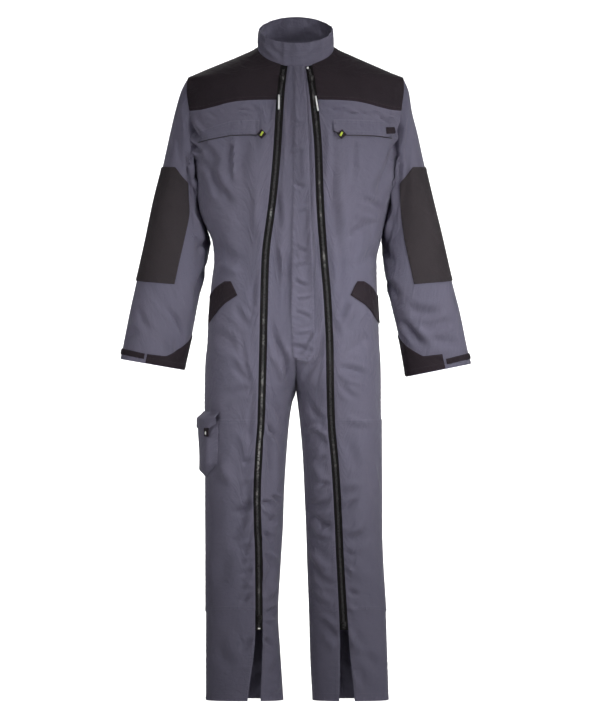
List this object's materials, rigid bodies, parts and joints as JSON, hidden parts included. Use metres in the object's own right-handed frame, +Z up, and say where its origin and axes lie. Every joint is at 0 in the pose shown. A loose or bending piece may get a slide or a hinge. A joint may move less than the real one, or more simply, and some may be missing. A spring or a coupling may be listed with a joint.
{
  "type": "boiler suit",
  "caption": "Two-tone boiler suit worn by an unseen figure: stand collar, dark yokes and elbow patches, long front zips from neck to shin, flapped chest pockets, thigh pocket.",
  "frame": {"origin": "base of the neck, midway between the shoulders, where the wearer's shoulders hold the suit up", "axes": "+Z up along the body, -Y out of the suit's front, -X towards the wearer's right"},
  "size_m": [0.8171, 0.2779, 1.5945],
  "materials": {
    "body_cloth": "grey polyester-cotton twill",
    "panel_cloth": "black polyester-cotton twill",
    "zip_tape": "black woven zip tape",
    "slider_metal": "black enamelled zinc",
    "pull_cord": "black braided cord",
    "pull_grip": "white moulded grip"
  },
  "bodies": {
    "suit": {"ankle_slider_left": "slider_metal", "ankle_slider_right": "slider_metal", "back_left": "body_cloth", "back_right": "body_cloth", "cargo_flap": "body_cloth", "cargo_pocket": "body_cloth", "cargo_tab": "panel_cloth", "chest_flap_left": "body_cloth", "chest_flap_right": "body_cloth", "collar": "body_cloth", "cuff_gusset_left": "panel_cloth", "cuff_gusset_right": "panel_cloth", "cuff_strap_left": "panel_cloth", "cuff_strap_right": "panel_cloth", "elbow_patch_left": "panel_cloth", "elbow_patch_right": "panel_cloth", "flap_label": "panel_cloth", "flap_tab_left": "panel_cloth", "flap_tab_right": "panel_cloth", "fly_placket": "body_cloth", "front_centre_left": "body_cloth", "front_centre_right": "body_cloth", "front_side_left": "body_cloth", "front_side_right": "body_cloth", "hip_facing_left": "panel_cloth", "hip_facing_right": "panel_cloth", "knee_panel_left": "body_cloth", "knee_panel_right": "body_cloth", "sleeve_left": "body_cloth", "sleeve_right": "body_cloth", "yoke_back": "panel_cloth", "yoke_front_left": "panel_cloth", "yoke_front_right": "panel_cloth", "zip_left": "zip_tape", "zip_right": "zip_tape", "zip_slider_left": "slider_metal", "zip_slider_right": "slider_metal"},
    "pull_right": {"pull_cord_right": "pull_cord", "pull_grip_right": "pull_grip"},
    "pull_left": {"pull_cord_left": "pull_cord", "pull_grip_left": "pull_grip"}
  },
  "joints": [
    {"name": "pull_right_swing", "type": "hinge", "parent": "suit", "child": "pull_right", "pos_m": [-0.0319, -0.1135, -0.0581], "axis": [-1, 0, 0], "range_deg": [0, 150]},
    {"name": "pull_left_swing", "type": "hinge", "parent": "suit", "child": "pull_left", "pos_m": [0.0352, -0.1135, -0.0581], "axis": [-1, 0, 0], "range_deg": [0, 150]}
  ]
}
